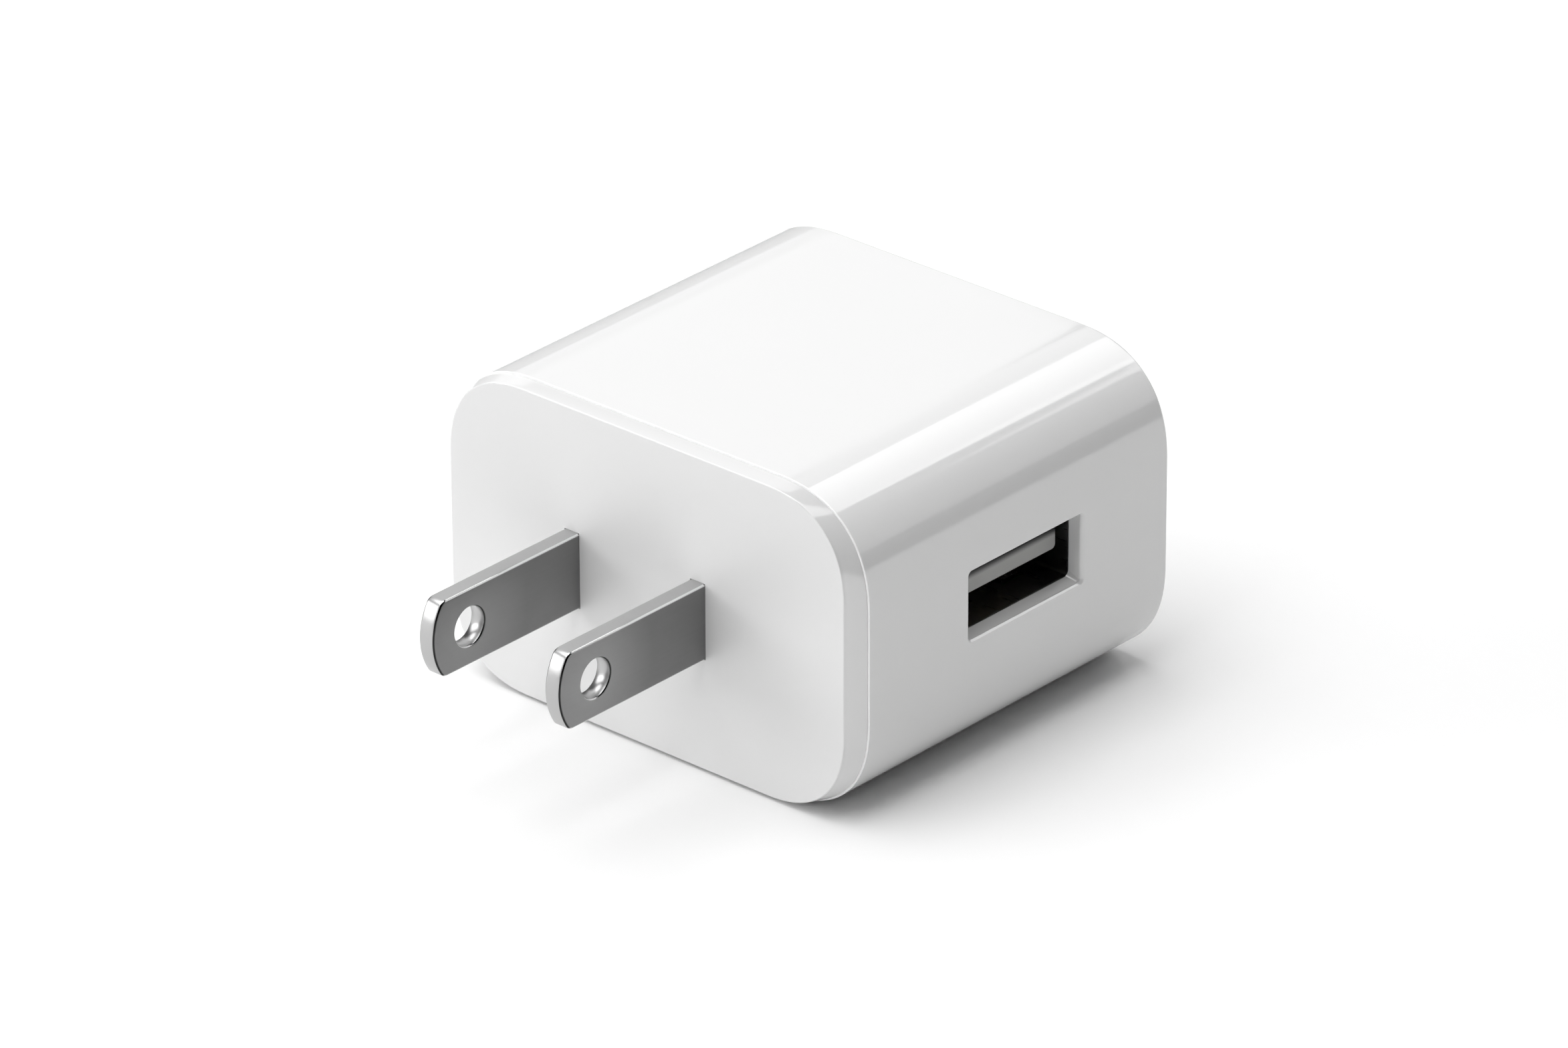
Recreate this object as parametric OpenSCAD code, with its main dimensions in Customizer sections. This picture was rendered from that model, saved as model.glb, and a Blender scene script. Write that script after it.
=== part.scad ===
// USB wall charger with two fixed mains blades and one USB-A port.
// Origin: centre of the blade face, midway between the blades. +Y runs back into the body, +Z is up.

/* [Body] */
// Width of the body, left to right
body_w = 42; // [40:0.5:50]
// Height of the body
body_h = 26.5; // [26.5:0.5:32]
// Depth of the body, from the blade face to the back
body_d = 36; // [36:0.5:44]
// Radius of the four long edges
corner_r = 7.7; // [6:0.1:8]
// Wall thickness of the housing
wall = 2; // [1.8:0.1:2.2]
// Bevel around the back edge
back_bevel = 0.4; // [0.2:0.1:0.8]
// Sideways distance of the body's middle from the blades' middle
body_x = 1; // [0.5:0.1:1.5]
// Height of the body's middle above the blades' middle
body_z = 0.5; // [0:0.1:1]

/* [Front cover] */
// Depth of the visible rim of the cover
rim_d = 1.4; // [1:0.1:1.6]
// How far the rim leans in at the blade face
rim_bevel = 0.6; // [0.3:0.1:0.9]
// Open seam between the cover and the housing
seam = 0.1; // [0.05:0.05:0.2]
// Thickness of the face plate
cover_t = 2; // [1.8:0.1:2.4]
// How far the locating skirt reaches behind the face
skirt_end = 4.5; // [4:0.1:5]

/* [Blades] */
// Distance between the blade centres
blade_pitch = 12.7; // [12.7:0.1:12.8]
// Width of a blade
blade_w = 6.35; // [6.1:0.05:6.6]
// Thickness of a blade
blade_t = 1.5; // [1.4:0.05:1.6]
// Length of a blade in front of the face
blade_len = 16; // [15.9:0.1:18.2]
// Diameter of the hole in a blade
blade_hole_d = 3.2; // [3:0.1:4]
// Distance of the hole's centre from the tip
hole_to_tip = 4; // [3.8:0.1:4.4]
// Radius of the curved tip
tip_r = 5.2; // [4:0.1:8]

/* [USB port] */
// Distance of the port's middle behind the blade face
usb_y = 19.4; // [19:0.1:20]
// Height of the port's middle
usb_z = 1.3; // [1:0.1:1.6]
// Width of the window in the housing
window_w = 12.9; // [12.7:0.1:13.5]
// Height of the window in the housing
window_h = 5.8; // [5.5:0.1:6.2]
// Thickness of the housing wall around the window
window_wall = 1.2; // [1:0.1:1.4]
// Outer width of the steel shell
shell_w = 13.1; // [13.1:0.1:13.3]
// Outer height of the steel shell
shell_h = 5.72; // [5.7:0.02:5.8]
// Length of the steel shell
shell_len = 13.9; // [13.5:0.1:14]
// Thickness of the shell's sheet
shell_t = 0.3; // [0.25:0.05:0.3]
// Width of the tongue
tongue_w = 11.1; // [11:0.05:11.2]
// Thickness of the tongue
tongue_t = 1.84; // [1.8:0.02:1.9]
// Gap above the tongue
tongue_gap = 0.95; // [0.65:0.05:1]
// Travel angle that the contacts' grooves leave room for
contact_travel = 3; // [2:0.5:3]

/* [Board] */
// Thickness of the circuit board
board_t = 1.6; // [1:0.1:1.6]
// Free space between the board's edge and the housing
board_play = 0.3; // [0.2:0.05:0.5]

/* [Hidden] */
$fn = 64;

eps = 0.01;
cut = 1;                              // how far a cutter runs past the face it opens
fit = 0.05;                           // clearance of a close fit
slack = 0.1;                          // clearance of a loose fit

// Inside of the housing
housing_y = rim_d + seam;             // front edge of the housing
inner_left = body_x - body_w / 2 + wall;
inner_right = body_x + body_w / 2 - wall;
inner_back = body_d - wall;
outer_right = body_x + body_w / 2;
ledge = wall / 2;                     // wall left in front of the ledge that stops the skirt
skirt_t = 1.1;

// USB port, laid out from the window inwards
mouth_x = outer_right - window_wall - slack;
shell_back = mouth_x - shell_len;
cavity_w = shell_w - 2 * shell_t;
cavity_h = shell_h - 2 * shell_t;
tongue_tip = mouth_x - 0.5;
tongue_top = usb_z + cavity_h / 2 - tongue_gap;
tongue_bottom = tongue_top - tongue_t;
block_front = shell_back + 2.9;       // front face of the insulator's block
groove_back = block_front + 0.35;
groove_w = 1.3;
contact_w = 1;
contact_t = 0.25;
contact_y = [-3.5, -1, 1, 3.5];       // the four contacts, from the middle of the port
hinge_x = groove_back + 0.3;
hinge_z = tongue_bottom + 0.7;
contact_tip_x = tongue_tip - 0.75;
contact_tip_z = tongue_bottom + 0.25;
contact_lift = (contact_tip_x - hinge_x) * sin(contact_travel);
groove_top = contact_tip_z + contact_t / 2 + contact_lift + 0.25;
tail_x = shell_back + 1.2;            // where the tails go down through the board
tail_w = 0.6;

// Board
board_top = usb_z - shell_h / 2;
board_bottom = board_top - board_t;
board_left = inner_left + board_play;
board_right = inner_right - board_play;
board_front = 5.6;
board_back = inner_back - board_play;
rail_t = 1.2;
rail_in = 1.6;                        // how far the rails stand out from the wall
lead_r = 0.3;
lead_end = board_bottom - 1.3;        // lowest point of the through-hole leads
hole_r = 0.45;

// Retainer and blade roots
retainer_w = 27;
retainer_h = 11;
retainer_end = 4.2;
shoulder_h = 8.4;
shoulder_end = 3.2;
blade_tail_z = [-0.6, 2.9];           // lower and upper edge of the tail, above the clip's base
blade_tail_end = 10.4;
stake_x = 11;
stake_z = 3.5;
stake_r = 0.9;
stake_head_r = 1.6;
stake_head_h = 0.8;
clip_y = [6, 10];
clip_t = 0.4;
clip_pin_y = [6.8, 9.2];

// Transformer, with its winding's axis along X
core_x = -7.6;
core_y = 25.2;
core_z = board_top + 6.8;
core_len = 14.4;
core_w = 16;
core_h = 4.8;
leg_side = 2.1;
leg_mid = 4;
core_back = 2;
coil_len = 8.7;
coil_w = 11.1;
coil_h = 11.2;
tube_w = 5.4;
tube_h = 6.2;
flange_t = 0.6;
flange_w = 11.6;
flange_h = 11.8;
pin_rail_w = 12.8;
pin_rail_t = 3.4;
pin_rail_x = 6.4;                     // distance of each pin rail from the transformer's middle
pin_pitch = 3.5;
pins_per_side = 4;
pin_x = 6.6;                          // distance of each row of pins from the transformer's middle

// Electrolytic capacitors: x, y, radius, height, lead pitch
bulk_capacitors = [[-12.2, 11.6, 4, 11, 3.5], [0, 10.4, 4, 11, 3.5]];
output_capacitors = [[14.6, 30, 3.15, 10.8, 2.5], [7.9, 30.1, 3.15, 10.8, 2.5]];
capacitors = concat(bulk_capacitors, output_capacitors);
bung_h = 1;

// Small parts on top of the board
fuse_at = [11, 8.3];
fuse_r = 1.6;
fuse_len = 7.4;
fuse_lift = 1;
fuse_return = 2.6;                    // distance of the return lead
choke_at = [16.3, 8.3];
choke_r = 2.5;
choke_h = 7;
choke_pitch = 2.5;
choke_flange = 1;
choke_hub = 1.2;
y_cap_at = [3.6, 20.5];
y_cap_r = 3.4;
y_cap_t = 3;
y_cap_lift = 1.2;
y_cap_pitch = 5;
sheet_t = 0.4;
sheet_x = 6.2;
sheet_y = 11.7;
sheet_end = 26.4;
sheet_top = board_top + 9.4;

// Moulded parts under the board: x, y, length along X, width along Y, height
rectifier = [-5.9, 13.6, 4.8, 4, 2.4];
controller = [-7.8, 19.6, 4.9, 3.9, 1.5];
coupler = [4.2, 26.6, 6.4, 4.6, 3.4];
diode = [13.5, 19.5, 6.6, 4.4, 2.2];
leg_reach = 0.9;                      // how far a leg stands out from its moulded body

// Chip resistors and capacitors under the board: x, y, length along X, width along Y
chips = [[-13.6, 15.6, 2, 1.25], [-11, 16.2, 2, 1.25], [-3, 17.4, 1.6, 0.8], [-11.4, 24, 2, 1.25],
  [-8.4, 24, 1.6, 0.8], [-5.4, 24, 1.6, 0.8], [-8, 27, 3.2, 1.6], [-8, 30, 3.2, 1.6], [1, 13.4, 1.6, 0.8],
  [6.3, 13.4, 1.6, 0.8], [12.6, 10.9, 1.6, 0.8], [12, 15.2, 2, 1.25], [15.2, 15.2, 2, 1.25],
  [12.4, 23.9, 2, 1.25], [15.4, 23.6, 3.2, 1.6], [5.6, 16.6, 1.6, 0.8]];
chip_h = 0.55;

function blade_x(side) = side * blade_pitch / 2;
function pin_y(i) = core_y + (i - (pins_per_side - 1) / 2) * pin_pitch;

// Every round lead that goes through the board
lead_points = concat(
  [for (c = capacitors) for (s = [-1, 1]) [c[0] + s * c[4] / 2, c[1]]],
  [for (s = [-1, 1]) [choke_at[0] + s * choke_pitch / 2, choke_at[1]]],
  [fuse_at, [fuse_at[0] - fuse_return, fuse_at[1]]],
  [for (s = [-1, 1]) [y_cap_at[0], y_cap_at[1] + s * y_cap_pitch / 2]],
  [for (s = [-1, 1]) for (i = [0 : pins_per_side - 1]) [core_x + s * pin_x, pin_y(i)]]);
clip_pin_points = [for (s = [-1, 1]) for (y = clip_pin_y) [blade_x(s), y]];
tail_points = [for (y = contact_y) [tail_x, usb_y + y]];

// Rectangle with round corners, centred
module round_rect(w, h, r) {
  square([w - 2 * r, h], center = true);
  square([w, h - 2 * r], center = true);
  for (x = [-1, 1])
    for (z = [-1, 1])
      translate([x * (w / 2 - r), z * (h / 2 - r)]) circle(r);
}

// Body section, drawn in from the outside by inset, between two depths
module slab(y0, y1, inset) {
  translate([body_x, y1, body_z])
    rotate([90, 0, 0])
      linear_extrude(y1 - y0) round_rect(body_w - 2 * inset, body_h - 2 * inset, corner_r - inset);
}

// Body section whose edge leans in by bevel at one end; it starts at y0 and goes to y0 + d
module bevelled_slab(y0, d, bevel, lean_front) {
  w = body_w - 2 * corner_r;
  h = body_h - 2 * corner_r;
  front = lean_front ? bevel : 0;
  back = lean_front ? 0 : bevel;
  translate([body_x, y0, body_z]) {
    for (x = [-1, 1])
      for (z = [-1, 1])
        translate([x * w / 2, 0, z * h / 2])
          rotate([-90, 0, 0]) cylinder(h = d, r1 = corner_r - front, r2 = corner_r - back);
    translate([0, 0, -h / 2])
      linear_extrude(h)
        polygon([[-body_w / 2 + front, 0], [body_w / 2 - front, 0], [body_w / 2 - back, d],
          [-body_w / 2 + back, d]]);
    translate([-w / 2, 0, 0])
      rotate([90, 0, 90])
        linear_extrude(w)
          polygon([[0, -body_h / 2 + front], [0, body_h / 2 - front], [d, body_h / 2 - back],
            [d, -body_h / 2 + back]]);
  }
}

module box(x0, x1, y0, y1, z0, z1) {
  translate([x0, y0, z0]) cube([x1 - x0, y1 - y0, z1 - z0]);
}

// Shape drawn in the X-Z plane, y0 to y1
module side_extrude(y0, y1) {
  translate([0, y1, 0]) rotate([90, 0, 0]) linear_extrude(y1 - y0) children();
}

module rod(x, y, z0, z1, r) {
  translate([x, y, z0]) cylinder(h = z1 - z0, r = r, $fn = 24);
}

module rear_housing() color("white") {
  channel_h = shell_h + 3 * slack;
  channel_end = usb_y + shell_w / 2 + 2 * slack;
  lower = board_bottom - slack;
  upper = board_top + slack;
  left_rail = inner_left + rail_in;
  right_rail = inner_right - rail_in;
  rail_end = inner_back + eps;
  difference() {
    union() {
      slab(housing_y, body_d - back_bevel, 0);
      bevelled_slab(body_d - back_bevel, back_bevel, back_bevel, false);
    }
    slab(housing_y - cut, skirt_end, ledge);
    slab(skirt_end - cut, inner_back, wall);
    // slot in the right wall that lets the port slide in with the board
    box(inner_right - cut, outer_right - window_wall, housing_y - cut, channel_end,
      usb_z - channel_h / 2, usb_z + channel_h / 2);
    box(inner_right - cut, outer_right + cut, usb_y - window_w / 2, usb_y + window_w / 2,
      usb_z - window_h / 2, usb_z + window_h / 2);
  }
  // rails that hold the board; the upper right one starts behind the port
  box(inner_left - eps, left_rail, board_front, rail_end, lower - rail_t, lower);
  box(inner_left - eps, left_rail, board_front, rail_end, upper, upper + rail_t);
  box(right_rail, inner_right + eps, board_front, rail_end, lower - rail_t, lower);
  box(right_rail, inner_right + eps, channel_end + wall / 2, rail_end, upper, upper + rail_t);
}

module front_cover() color("white") {
  difference() {
    union() {
      bevelled_slab(0, rim_d, rim_bevel, true);
      slab(rim_d - eps, skirt_end, ledge + slack);
    }
    slab(cover_t, skirt_end + cut, ledge + slack + skirt_t);
    for (side = [-1, 1])
      box(blade_x(side) - blade_t / 2 - fit, blade_x(side) + blade_t / 2 + fit, -cut, cover_t + cut,
        -blade_w / 2 - fit, blade_w / 2 + fit);
  }
  // stake posts with formed heads
  for (x = [-1, 1])
    for (z = [-1, 1])
      translate([x * stake_x, cover_t - eps, z * stake_z])
        rotate([-90, 0, 0]) {
          cylinder(h = retainer_end - cover_t + 2 * eps, r = stake_r);
          translate([0, 0, retainer_end - cover_t + eps])
            cylinder(h = stake_head_h, r1 = stake_head_r, r2 = stake_head_r * 0.6);
        }
}

// Flat outline of a blade in the Y-Z plane, given as X-Y here
module blade_outline() {
  intersection() {
    translate([-blade_len, -blade_w / 2]) square([blade_len + cover_t, blade_w]);
    translate([tip_r - blade_len, 0]) union() {
      circle(tip_r);
      translate([0, -blade_w / 2]) square([blade_len + cover_t, blade_w]);
    }
  }
  translate([cover_t, -shoulder_h / 2]) square([shoulder_end - cover_t, shoulder_h]);
  translate([shoulder_end - eps, blade_tail_z[0]])
    square([blade_tail_end - shoulder_end + eps, blade_tail_z[1] - blade_tail_z[0]]);
}

module blade(side) {
  tip_bevel = 0.12;
  tip_bevel_len = 0.3;
  translate([blade_x(side), 0, 0])
    difference() {
      translate([-blade_t / 2, 0, 0]) rotate([90, 0, 90]) linear_extrude(blade_t) blade_outline();
      translate([-blade_t, hole_to_tip - blade_len, 0])
        rotate([0, 90, 0]) cylinder(h = 2 * blade_t, d = blade_hole_d);
      // lead-in bevels on both flat sides of the tip
      for (s = [-1, 1])
        translate([0, -blade_len, -blade_w / 2 - cut])
          linear_extrude(blade_w + 2 * cut)
            polygon([[s * blade_t / 2, tip_bevel_len], [s * (blade_t / 2 - tip_bevel), 0],
              [s * (blade_t / 2 - tip_bevel), -cut], [s * (blade_t / 2 + cut), -cut],
              [s * (blade_t / 2 + cut), tip_bevel_len]]);
    }
}

module blade_left() color("silver") blade(-1);
module blade_right() color("silver") blade(1);

module blade_retainer() color("dimgray")
  difference() {
    translate([0, retainer_end, 0])
      rotate([90, 0, 0]) linear_extrude(retainer_end - cover_t) round_rect(retainer_w, retainer_h, 1.5);
    for (side = [-1, 1]) {
      box(blade_x(side) - blade_t / 2 - fit, blade_x(side) + blade_t / 2 + fit, cover_t - cut,
        shoulder_end + fit, -shoulder_h / 2 - fit, shoulder_h / 2 + fit);
      box(blade_x(side) - blade_t / 2 - fit, blade_x(side) + blade_t / 2 + fit, cover_t, retainer_end + cut,
        blade_tail_z[0] - fit, blade_tail_z[1] + fit);
    }
    for (x = [-1, 1])
      for (z = [-1, 1])
        translate([x * stake_x, cover_t - cut, z * stake_z])
          rotate([-90, 0, 0]) cylinder(h = retainer_end, r = stake_r + fit);
  }

// Spring clip: a base on the board and two bowed leaves that grip the blade's tail
module blade_clip(side) {
  base_w = 3.4;
  leaf_top = 2.6;
  flare = 0.5;
  bow = 0.12;
  lead_in = 0.8;
  mid = (clip_y[0] + clip_y[1]) / 2;
  grip = blade_t / 2;
  leaf = [[grip + flare, clip_y[0]], [grip + bow / 2, clip_y[0] + lead_in], [grip, mid],
    [grip + bow, clip_y[1]]];
  translate([blade_x(side), 0, 0]) {
    box(-base_w / 2, base_w / 2, clip_y[0], clip_y[1], board_top, board_top + clip_t);
    for (s = [-1, 1])
      translate([0, 0, board_top + clip_t - eps])
        linear_extrude(leaf_top - board_top - clip_t)
          polygon(concat(
            [for (p = leaf) [s * p[0], p[1]]],
            [for (i = [len(leaf) - 1 : -1 : 0]) [s * (leaf[i][0] + clip_t), leaf[i][1]]]));
  }
  for (y = clip_pin_y)
    rod(blade_x(side), y, lead_end, board_top + eps, lead_r);
}

module blade_clip_left() color("goldenrod") blade_clip(-1);
module blade_clip_right() color("goldenrod") blade_clip(1);

// Slots for the shell's four legs, and the legs themselves
leg_x = [shell_back + 3.9, shell_back + 9.4];
leg_w = 1.4;
module shell_legs(grow, z0, z1) {
  for (x = leg_x)
    for (s = [-1, 1])
      box(x - leg_w / 2 - grow, x + leg_w / 2 + grow,
        usb_y + s * (shell_w - shell_t) / 2 - shell_t / 2 - grow,
        usb_y + s * (shell_w - shell_t) / 2 + shell_t / 2 + grow, z0, z1);
}

module main_board() color("seagreen")
  difference() {
    box(board_left, board_right, board_front, board_back, board_bottom, board_top);
    for (p = concat(lead_points, clip_pin_points, tail_points))
      rod(p[0], p[1], board_bottom - cut, board_top + cut, hole_r);
    shell_legs(0.2, board_bottom - cut, board_top + cut);
    // isolation slot between the mains side and the 5 V side
    box(1.2, 2, 15.6, 19, board_bottom - cut, board_top + cut);
  }

// Grip springs of the shell
spring_x = [shell_back + 5, shell_back + 11.4];
spring_w = 2;
spring_y = 3;
spring_dip = 0.42;
spring_gap = 0.3;

// One grip spring, a strip that leans into the cavity: s is 1 on the top wall and -1 on the bottom
module grip_spring(s, y) {
  wall_z = usb_z + s * (shell_h / 2 - shell_t);
  start_x = spring_x[0] + 0.4;
  low_x = spring_x[1] - 1.6;
  tip_x = spring_x[1] - 0.4;
  side_extrude(usb_y + y - spring_w / 2, usb_y + y + spring_w / 2)
    polygon([[spring_x[0] - eps, wall_z], [spring_x[0] - eps, wall_z + s * shell_t],
      [start_x, wall_z + s * shell_t], [low_x, wall_z - s * (spring_dip - shell_t)],
      [tip_x, wall_z + s * shell_t * 0.8], [tip_x, wall_z - s * shell_t * 0.4],
      [low_x, wall_z - s * spring_dip], [start_x, wall_z]]);
}

module usb_shell() color("lightslategray") {
  round_out = 0.6;
  difference() {
    translate([shell_back, usb_y, usb_z])
      rotate([90, 0, 90]) linear_extrude(shell_len) round_rect(shell_w, shell_h, round_out);
    translate([shell_back + shell_t, usb_y, usb_z])
      rotate([90, 0, 90]) linear_extrude(shell_len) round_rect(cavity_w, cavity_h, round_out - shell_t);
    box(shell_back + shell_t, block_front - 0.2, usb_y - cavity_w / 2, usb_y + cavity_w / 2,
      usb_z - shell_h / 2 - cut, usb_z);
    // openings that the grip springs bend in
    for (s = [-1, 1])
      for (z = [-1, 1])
        translate([spring_x[0], usb_y + s * spring_y, usb_z + z * (shell_h - shell_t) / 2])
          translate([0, -spring_w / 2 - spring_gap, -shell_t])
            cube([spring_x[1] - spring_x[0], spring_w + 2 * spring_gap, 2 * shell_t]);
  }
  for (s = [-1, 1])
    for (z = [-1, 1])
      grip_spring(z, s * spring_y);
  shell_legs(0, lead_end + 0.2, usb_z - shell_h / 2 + 0.8);
}

module usb_insulator() color("gray")
  difference() {
    union() {
      box(shell_back + shell_t + fit, block_front, usb_y - cavity_w / 2 + slack + fit,
        usb_y + cavity_w / 2 - slack - fit, usb_z - cavity_h / 2 + fit, usb_z + cavity_h / 2 - fit);
      box(block_front - eps, tongue_tip, usb_y - tongue_w / 2, usb_y + tongue_w / 2,
        tongue_bottom, tongue_top);
    }
    for (y = contact_y) {
      // groove under the tongue, then the passage for the fixed tail
      box(groove_back, tongue_tip - 0.4, usb_y + y - groove_w / 2, usb_y + y + groove_w / 2,
        tongue_bottom - cut, groove_top);
      box(block_front - eps, groove_back + eps, usb_y + y - groove_w / 2, usb_y + y + groove_w / 2,
        tongue_bottom - cut, groove_top);
      box(tail_x - tail_w / 2 - slack, block_front + eps, usb_y + y - tail_w / 2 - slack,
        usb_y + y + tail_w / 2 + slack, hinge_z - contact_t / 2 - slack, hinge_z + contact_t / 2 + slack);
      box(tail_x - tail_w / 2 - slack, tail_x + tail_w / 2 + slack, usb_y + y - tail_w / 2 - slack,
        usb_y + y + tail_w / 2 + slack, usb_z - cavity_h, hinge_z);
    }
  }

// Sprung finger: down from its root to the contact point, then up at the tip
module usb_contact(i) {
  y = usb_y + contact_y[i];
  half = contact_t / 2;
  apex_x = tongue_tip - 2;
  apex_z = tongue_bottom - 0.35;
  root_x = hinge_x - 0.15;
  bend_x = hinge_x + 0.8;
  color("gold")
    side_extrude(y - contact_w / 2, y + contact_w / 2)
      polygon([[root_x, hinge_z - half], [bend_x, hinge_z - half], [apex_x, apex_z - half],
        [contact_tip_x, contact_tip_z - half], [contact_tip_x, contact_tip_z + half],
        [apex_x, apex_z + half], [bend_x, hinge_z + half], [root_x, hinge_z + half]]);
}

module usb_contact_1() usb_contact(0);
module usb_contact_2() usb_contact(1);
module usb_contact_3() usb_contact(2);
module usb_contact_4() usb_contact(3);

module usb_terminals() color("gold")
  for (p = tail_points) {
    box(tail_x - tail_w / 2, hinge_x - 0.35, p[1] - tail_w / 2, p[1] + tail_w / 2, hinge_z - contact_t / 2,
      hinge_z + contact_t / 2);
    box(tail_x - tail_w / 2, tail_x - tail_w / 2 + contact_t, p[1] - tail_w / 2, p[1] + tail_w / 2,
      lead_end, hinge_z + contact_t / 2);
  }

// E-shaped half of the core; side is -1 for the left half and +1 for the right
module core_half(side) {
  leg_len = core_len / 2 - core_back;
  translate([core_x, core_y, core_z - core_h / 2])
    linear_extrude(core_h)
      mirror([side < 0 ? 1 : 0, 0]) {
        translate([leg_len, -core_w / 2]) square([core_back, core_w]);
        translate([0, -leg_mid / 2]) square([leg_len + eps, leg_mid]);
        for (s = [-1, 1])
          translate([0, s * (core_w - leg_side) / 2 - leg_side / 2]) square([leg_len + eps, leg_side]);
      }
}

module transformer_core_left() color("darkslategray") core_half(-1);
module transformer_core_right() color("darkslategray") core_half(1);

module core_tape() color("gold") {
  tape_t = 0.15;
  tape_h = 4;
  translate([core_x, core_y, core_z - tape_h / 2])
    linear_extrude(tape_h)
      difference() {
        square([core_len + 2 * tape_t, core_w + 2 * tape_t], center = true);
        square([core_len, core_w], center = true);
      }
}

module transformer_bobbin() color("black")
  difference() {
    union() {
      translate([core_x - coil_len / 2 - slack, core_y, core_z])
        rotate([90, 0, 90]) linear_extrude(coil_len + 2 * slack) square([tube_w, tube_h], center = true);
      for (side = [-1, 1]) {
        translate([core_x + side * (coil_len / 2 + slack + flange_t / 2) - flange_t / 2, core_y, core_z])
          rotate([90, 0, 90]) linear_extrude(flange_t) round_rect(flange_w, flange_h, 1);
        // rail under the core that carries one row of pins
        translate([core_x + side * pin_rail_x - pin_rail_t / 2, core_y - pin_rail_w / 2, board_top])
          cube([pin_rail_t, pin_rail_w, core_z - core_h / 2 - 0.3 - board_top]);
      }
    }
    box(core_x - core_len, core_x + core_len, core_y - leg_mid / 2 - slack, core_y + leg_mid / 2 + slack,
      core_z - core_h / 2 - slack, core_z + core_h / 2 + slack);
    for (side = [-1, 1])
      for (i = [0 : pins_per_side - 1])
        rod(core_x + side * pin_x, pin_y(i), board_top - cut, core_z - core_h / 2 - 1.3, lead_r + fit);
  }

module transformer_winding() color("khaki")
  translate([core_x - coil_len / 2, core_y, core_z])
    rotate([90, 0, 90])
      linear_extrude(coil_len)
        difference() {
          round_rect(coil_w, coil_h, 2);
          square([tube_w + 2 * fit, tube_h + 2 * fit], center = true);
        }

module transformer_pins() color("silver")
  for (side = [-1, 1])
    for (i = [0 : pins_per_side - 1])
      rod(core_x + side * pin_x, pin_y(i), lead_end, core_z - core_h / 2 - 1.4, lead_r);

// Capacitor can with a crimp above the bung and a cross-shaped vent
module capacitor(c) {
  r = c[2];
  vent = 0.2;
  shoulder = 0.5;
  crimp_r = r - 0.35;
  crimp_z = 2.05;
  translate([c[0], c[1], board_top])
    difference() {
      rotate_extrude()
        polygon([[0, bung_h], [r, bung_h], [r, crimp_z - 0.45], [crimp_r, crimp_z - 0.15],
          [crimp_r, crimp_z + 0.15], [r, crimp_z + 0.45], [r, c[3] - shoulder], [r - shoulder, c[3]],
          [0, c[3]]]);
      for (a = [0, 90])
        rotate(a) translate([-r * 0.6, -vent / 2, c[3] - vent]) cube([r * 1.2, vent, 1]);
    }
}

module bulk_capacitor_1() color("midnightblue") capacitor(bulk_capacitors[0]);
module bulk_capacitor_2() color("midnightblue") capacitor(bulk_capacitors[1]);
module output_capacitor_1() color("darkgreen") capacitor(output_capacitors[0]);
module output_capacitor_2() color("darkgreen") capacitor(output_capacitors[1]);

module capacitor_bungs() color("black")
  for (c = capacitors)
    difference() {
      translate([c[0], c[1], board_top]) cylinder(h = bung_h, r = c[2] - 0.4);
      for (s = [-1, 1])
        rod(c[0] + s * c[4] / 2, c[1], board_top - cut, board_top + bung_h + cut, lead_r);
    }

module capacitor_leads() color("silver")
  for (c = capacitors)
    for (s = [-1, 1])
      rod(c[0] + s * c[4] / 2, c[1], lead_end, board_top + bung_h, lead_r);

// Upright axial resistor with swollen ends
module fuse_resistor() color("lightgreen") {
  end_len = 1.6;
  end_round = 0.4;
  waist_r = fuse_r - 0.25;
  translate([fuse_at[0], fuse_at[1], board_top + fuse_lift])
    rotate_extrude()
      polygon([[0, 0], [fuse_r - end_round, 0], [fuse_r, end_round], [fuse_r, end_len],
        [waist_r, end_len + end_round],
        [waist_r, fuse_len - end_len - end_round], [fuse_r, fuse_len - end_len],
        [fuse_r, fuse_len - end_round], [fuse_r - end_round, fuse_len], [0, fuse_len]]);
}

module filter_inductor_core() color("darkslategray")
  translate([choke_at[0], choke_at[1], board_top])
    rotate_extrude()
      polygon([[0, 0], [choke_r, 0], [choke_r, choke_flange], [choke_hub, choke_flange],
        [choke_hub, choke_h - choke_flange], [choke_r, choke_h - choke_flange], [choke_r, choke_h],
        [0, choke_h]]);

module filter_inductor_winding() color("peru")
  translate([choke_at[0], choke_at[1], board_top + choke_flange + fit])
    rotate_extrude()
      translate([choke_hub + fit, 0])
        square([choke_r - choke_hub - 0.3, choke_h - 2 * choke_flange - 2 * fit]);

// Disc capacitor on edge
module y_capacitor() color("royalblue") {
  half = y_cap_t / 2;
  flat_r = y_cap_r - 1;
  round_r = y_cap_r - 0.3;
  band = 0.4;
  translate([y_cap_at[0], y_cap_at[1], board_top + y_cap_lift + y_cap_r])
    rotate([0, 90, 0])
      rotate_extrude()
        polygon([[0, -half], [flat_r, -half], [round_r, band - half], [y_cap_r, -band], [y_cap_r, band],
          [round_r, half - band], [flat_r, half], [0, half]]);
}

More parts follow.
